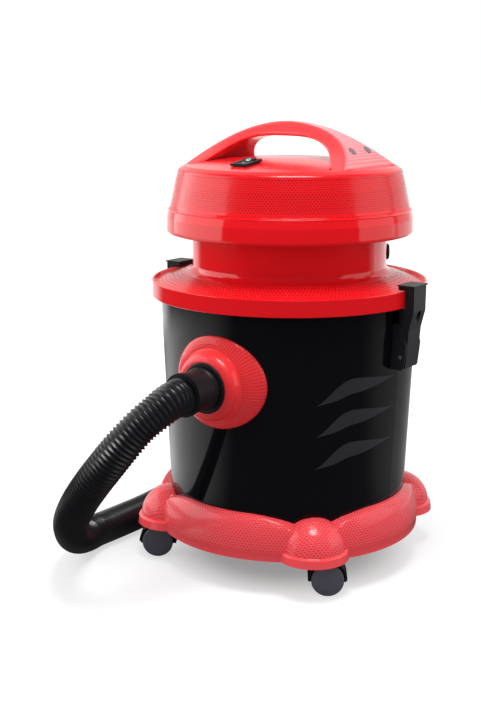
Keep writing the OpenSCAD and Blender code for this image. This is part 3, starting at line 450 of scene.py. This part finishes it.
def ring_section(heading):
    """The ring's closed outline at one heading: over the top, down the face, back up inside, then the pan."""
    lean = math.sin((heading + math.pi / 4) % (math.pi / 2) - math.pi / 4)
    land, blend = tank_radius(ring_top) + 0.0011, 0.0016
    crest = min(ring_top, arch_height(tank_radius(ring_top) * lean))
    points = [(tank_radius(crest) + seat, crest)]
    for share in np.linspace(0.0, 1.0, 30):
        turn = share * math.pi / 2
        r = land + (ring_r - land) * math.sin(turn)
        z = band_top + (ring_top - band_top) * math.cos(turn)
        points.append((r, soft_least(z, arch_height(r * lean), blend)))
    points += [(ring_r - 0.0007, band_top - 0.0012), (ring_r - 0.001, ring_foot),
               (ring_r - 0.001 - shell, ring_foot)]
    for share in np.linspace(1.0, 0.12, 9):
        turn = share * math.pi / 2
        r = land + (ring_r - shell - land) * math.sin(turn)
        z = band_top + (ring_top - shell - band_top) * math.cos(turn)
        points.append((r, min(z, arch_height(r * lean) - under_arch)))
    points += [(tank_radius(shelf_under) + tank_wall, shelf_under), (pan_r, shelf_under), (pan_r, pan_foot),
               (pan_r - shell, pan_foot), (pan_r - shell, shelf_top),
               (tank_radius(shelf_top) + seat, shelf_top)]
    return [(r * math.cos(heading), r * math.sin(heading), z) for r, z in points]


def closed_solid(name, loops, wrap=False):
    """A closed mesh over loops of equally many corners, with its faces turned outwards."""
    data = skinned(name, loops, wrap)
    shape = bmesh.new()
    shape.from_mesh(data)
    bmesh.ops.recalc_face_normals(shape, faces=shape.faces)
    shape.to_mesh(data)
    shape.free()
    return data


def turned(name, outline, centres, sides=96):
    """Solids of revolution about upright axes at the centres, all in one mesh."""
    angles = np.arange(sides) * math.tau / sides
    shape = bmesh.new()
    for x, y in centres:
        loops = [[(x + r * math.cos(a), y + r * math.sin(a), z) for a in angles] for r, z in outline]
        shape.from_mesh(closed_solid(name, loops))
    data = bpy.data.meshes.new(name)
    shape.to_mesh(data)
    shape.free()
    return data


def cut_and_join(data, *steps):
    """The mesh after some steps: each is a word that says what to do, and the mesh to do it with."""
    made = linked("work_piece", data)
    tools = []
    for operation, other in steps:
        tool = linked("work_tool", other)
        tools.append(tool)
        change = made.modifiers.new(operation, "BOOLEAN")
        change.operation, change.object, change.solver = operation, tool, "EXACT"
    bpy.context.view_layer.update()
    worked = made.evaluated_get(bpy.context.evaluated_depsgraph_get())
    result = bpy.data.meshes.new_from_object(worked)
    for thing in [made] + tools:
        bpy.data.objects.remove(thing)
    return result


corners = [math.radians(45 + 90 * k) for k in range(4)]
domes = [(dome_pitch * math.cos(a), dome_pitch * math.sin(a)) for a in corners]


def dome_outline(inset, foot):
    """From the middle of the foot out, up its flare and over the dome, all moved in by inset."""
    r = dome_r - inset
    start = math.asin(0.002 / r)
    flare = [(on_axis, foot), (dome_r + 0.0044 - inset, foot), (dome_r + 0.0034 - inset, 0.0555 - inset / 2),
             (dome_r + 0.0026 - inset, 0.0565 - inset / 2), (dome_r + 0.0008 - inset, 0.0568 - inset / 2)]
    over = np.linspace(start, math.pi / 2, 22)
    return flare + [(max(r * math.cos(a), on_axis), dome_z + r * math.sin(a)) for a in over]


# What the domes leave free: the room for the tank, and inside them the room that the pan and the ring take.
rooms_top, tank_foot, pan_back = 0.13, 0.0698, 0.0657
tank_room = [(on_axis, tank_foot), (tank_radius(tank_foot) + seat, tank_foot),
             (tank_radius(rooms_top) + seat, rooms_top), (on_axis, rooms_top)]
pan_room = [(on_axis, 0.04), (pan_r + 0.0002, 0.04), (pan_r + 0.0002, pan_back),
            (tank_radius(pan_back) + 0.0041, pan_back), (tank_radius(rooms_top) + 0.0041, rooms_top),
            (on_axis, rooms_top)]
outside = cut_and_join(turned("domes", dome_outline(0.0, ring_foot + 0.0007), domes),
                       ("DIFFERENCE", turned("tank_room", tank_room, [(0.0, 0.0)], 180)))
inside = cut_and_join(turned("dome_hollows", dome_outline(shell, ring_foot - 0.001), domes),
                      ("DIFFERENCE", turned("pan_room", pan_room, [(0.0, 0.0)], 180)))
# Under each dome a boss takes the caster's bush in its bore.
boss_r, bore_r = 0.009, 0.00705
boss = turned("bosses", [(on_axis, 0.0452), (boss_r, 0.0452), (boss_r, 0.0925), (on_axis, 0.0925)], domes, 48)
bore = turned("bores", [(on_axis, 0.04), (bore_r, 0.04), (bore_r, 0.0662), (on_axis, 0.0662)], domes, 48)
sections = [ring_section(math.tau * k / 240) for k in range(240)]
dolly_data = cut_and_join(closed_solid("dolly", sections, wrap=True), ("UNION", outside),
                          ("DIFFERENCE", inside), ("UNION", boss), ("DIFFERENCE", bore))
dolly = piece("dolly_arched", dolly_data, dolly_red, smooth=32)
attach(dolly, "vacuum")
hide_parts("dolly_ring")

# ---- inlet flange ----
# Red moulding held to the drum by the ring nut inside. Its broad outer step wraps round the drum in an oval, a
# little to one side and up, and its round inner step holds the black socket.
flange_seat = tank_radius(inlet_z)
flange_wide, flange_tall, flange_shift = 0.063, 0.057, 0.003


def drum_front(x, up):
    """How far in front of the tank's axis the drum's face is."""
    return math.sqrt(tank_radius(inlet_z + up) ** 2 - x * x)


def flange_section(heading):
    """The flange's closed outline at one heading: out over the drum to the rim, and back over both steps."""
    turn_x, turn_up = math.cos(heading), math.sin(heading)
    rim_x, rim_up = flange_shift + flange_wide * turn_x, flange_shift + flange_tall * turn_up
    bore, step, lip, step_top = 0.029, 0.0445, 0.001, flange_seat + 0.0075
    points = []
    for share in np.linspace(0.0, 1.0, 10):
        x, up = bore * turn_x * (1 - share) + rim_x * share, bore * turn_up * (1 - share) + rim_up * share
        points.append((x, drum_front(x, up) + 0.00005, up))
    high = step_top - drum_front(step * turn_x, step * turn_up) - lip
    for angle in np.linspace(math.pi / 2, 0.0, 18):
        share = math.sin(angle)
        x, up = step * turn_x * (1 - share) + rim_x * share, step * turn_up * (1 - share) + rim_up * share
        points.append((x, drum_front(x, up) + lip + high * math.cos(angle), up))
    # The inner step as radius and depth: up out of the groove, over a round shoulder and in to the bore.
    front = [(0.0436, 0.0078), (0.0429, 0.009), (0.0421, 0.0115), (0.0415, 0.013)]
    shoulder = np.linspace(0.15, math.pi / 2, 12)
    front += [(0.031 + 0.0105 * math.cos(a), 0.013 + 0.0095 * math.sin(a)) for a in shoulder]
    front += [(0.0309, 0.02), (bore, 0.02)]
    points += [(r * turn_x, flange_seat + depth, r * turn_up) for r, depth in front]
    return [(x, -depth, inlet_z + up) for x, depth, up in points]


flange_data = closed_solid("flange", [flange_section(math.tau * k / 144) for k in range(144)], wrap=True)
flange = piece("flange_oval", flange_data, inlet_red, smooth=32)
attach(flange, "vacuum")
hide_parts("inlet_flange")

# ---- small pieces ----
# Casters, clamps, screws, seals, motor and filter. Each is its own solid, where it is fixed, in a plain finish
# of moulded plastic, zinc-plated steel, cast alloy, iron, brass, rubber, foam or fabric.
wheel = moulded("wheel_plastic", (0.105, 0.103, 0.135), 0.5, grain=1400.0, depth=0.00003)
steel = moulded("zinc_steel", (0.55, 0.55, 0.57), 0.32, grain=1500.0, depth=0.00002, Metallic=1.0)
alloy = moulded("cast_alloy", (0.7, 0.7, 0.71), 0.45, grain=500.0, depth=0.0001, Metallic=1.0)
iron = moulded("core_iron", (0.2, 0.2, 0.21), 0.5, grain=900.0, depth=0.00006, Metallic=1.0)
brass = moulded("brass", (0.72, 0.5, 0.2), 0.3, grain=900.0, depth=0.00003, Metallic=1.0)
grey = moulded("grey_plastic", (0.12, 0.125, 0.165), 0.4, grain=1000.0, depth=0.00003)
rubber = moulded("seal_rubber", (0.02, 0.02, 0.02), 0.7, grain=800.0, depth=0.00006)
foam = moulded("foam", (0.05, 0.05, 0.055), 0.95, grain=320.0, depth=0.0008)
fabric = moulded("filter_fabric", (0.7, 0.66, 0.55), 0.9, grain=600.0, depth=0.0003)
by_slot = {"black": satin, "wheel": wheel, "steel": steel, "light_alloy": alloy, "iron": iron,
           "brass": brass, "grey_plastic": grey, "seal_rubber": rubber, "foam": foam,
           "filter_fabric": fabric}
for entry in nodes.values():
    old = entry.data.materials[0]
    if old and old.name in by_slot:
        entry.data.materials[0] = by_slot[old.name].material

# ---- switch ----
# Black rocker of satin plastic. A white bar marks on at its near end and a white ring marks off at its far end.
rocker = Finish("rocker_black", Specular_IOR_Level=0.2)
x, y, z = rocker.place()
low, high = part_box("switch_rocker")
mark_inset, mark_r, line_half, line_end = 0.0065, 0.0021, 0.0004, 0.0006
bar_y, ring_y = low.y + mark_inset, high.y - mark_inset
off = (x * x + (y - ring_y) ** 2.0) ** 0.5 - mark_r
ring_mark = 1.0 - abs(off).fade(line_half, line_end)
bar_mark = (1.0 - abs(x).fade(line_half, line_end)) * (1.0 - abs(y - bar_y).fade(0.0024, 0.0026))
marks = ring_mark.maths("MAXIMUM", ring_mark, bar_mark) * z.fade(high.z - 0.0075, high.z - 0.007)
rocker.feed("Base Color", rocker.mix(marks, satin_colour, (0.8, 0.8, 0.8)))
rocker.feed("Roughness", rocker.noise(18.0, 3.0) * 0.06 + 0.36)
rocker.bump(rocker.noise(1100.0), 0.00003)
nodes["switch_rocker"].data.materials[0] = rocker.material

# ---- floor and light ----
# A white floor in a white room that is dark behind the onlooker, with one broad soft light overhead and one
# on each side. Seen straight, the floor glows more the farther it is from the vacuum, and its weaker glow close
# by is a painted shadow round and under the vacuum. In the gloss of the pieces it is dark, apart from pale
# parts to the left and far behind.
floor_white = Finish("floor_white", Specular_IOR_Level=0.1, Emission_Strength=1.0)
floor_white.feed("Roughness", floor_white.noise(3.0) * 0.1 + 0.55)
x, y, z = floor_white.place()
reach = (x * x + y * y) ** 0.5
far, near, outer = reach.fade(0.3, 1.3), reach.fade(0.09, 0.175), reach.fade(1.2, 1.8)
# rear points away from the onlooker and left to their left. Each is 1 that way and -1 the other way.
ahead_x, ahead_y, no_zero = 0.391, 0.921, 0.001
rear = (y * ahead_y - x * ahead_x) / (reach + no_zero)
left = (y * -ahead_x - x * ahead_y) / (reach + no_zero)
# lit is what the gloss of the pieces shows of the floor.
lit_near = left.fade(0.55, 1.0) * 0.9 + rear.fade(-0.3, 0.1) * 0.2
lit_near = lit_near * reach.fade(0.15, 0.5) * (1.0 - outer)
lit = lit_near + rear.fade(0.38, 0.7) * outer * 1.3
seen = floor_white.node("ShaderNodeLightPath", {}, out="Is Camera Ray")
mirrored = floor_white.node("ShaderNodeLightPath", {}, out="Is Glossy Ray")
through = floor_white.node("ShaderNodeLightPath", {}, out="Is Transmission Ray")
# Close to the vacuum less glow is added: a painted shadow round and under it.
glow = seen * (far * 0.43 + near * 0.34 + 0.28) + mirrored.maths("MAXIMUM", mirrored, through) * lit
near_mirrored = mirrored * (1.0 - lit.maths("MINIMUM", lit, 1.0))
floor_white.feed("Base Color", floor_white.mix(near_mirrored, (0.42, 0.42, 0.425), (0.06, 0.06, 0.065)))
floor_white.feed("Emission Color", floor_white.mix(glow, (0.0, 0.0, 0.0), (1.0, 1.0, 1.0)))
floor_end = 30
floor_corners = [(-floor_end, -floor_end, 0), (floor_end, -floor_end, 0), (floor_end, floor_end, 0),
                 (-floor_end, floor_end, 0)]
floor_data = bpy.data.meshes.new("floor")
floor_data.from_pydata(floor_corners, [], [(0, 1, 2, 3)])
floor_data.materials.append(floor_white.material)
floor = linked("floor", floor_data)

# Seen straight the room is white, as a light it is an even grey, and in the gloss of the pieces only the side
# behind the vacuum is bright.
scene.world = bpy.data.worlds.new("white_room")
scene.world.use_nodes = True
room = Sheet(scene.world.node_tree)
look = room.node("ShaderNodeTexCoord", {}, out="Generated")
dot = {"operation": "DOT_PRODUCT"}
ahead = room.node("ShaderNodeVectorMath", dot, look, (-0.545, 0.839, 0.0), out="Value")
in_gloss = room.mix(ahead.fade(0.35, 0.5), (0.04, 0.04, 0.045), (0.9, 0.9, 0.9))
glossy = room.node("ShaderNodeLightPath", {}, out="Is Glossy Ray")
clear = room.node("ShaderNodeLightPath", {}, out="Is Transmission Ray")
straight = room.node("ShaderNodeLightPath", {}, out="Is Camera Ray")
around = room.mix(glossy, (0.58, 0.58, 0.585), in_gloss)
air = room.mix(straight.maths("MAXIMUM", straight, clear), around, (1.0, 1.0, 1.0))
room.tree.links.new(air.socket, room.tree.nodes["Background"].inputs["Color"])


def soft_light(name, place, wide, tall, radiance, aim):
    """A broad light of even radiance, turned towards aim."""
    data = bpy.data.lights.new(name, "AREA")
    data.shape = "RECTANGLE"
    data.size, data.size_y = wide, tall
    data.energy = radiance * math.pi * wide * tall
    light = linked(name, data)
    light.location = place
    light.rotation_mode = "QUATERNION"
    light.rotation_quaternion = (Vector(aim) - light.location).to_track_quat("-Z", "Y")


soft_light("top_light", (0.27, -0.34, 1.63), 0.55, 0.55, 18.0, aim=(0.0, 0.0, 0.3))
soft_light("left_light", (-1.42, -0.74, 0.9), 2.2, 1.3, 2.1, aim=(0.0, 0.0, 0.9))
soft_light("right_light", (1.41, 0.75, 0.9), 1.3, 1.3, 1.1, aim=(0.0, 0.0, 0.9))

bpy.context.view_layer.update()
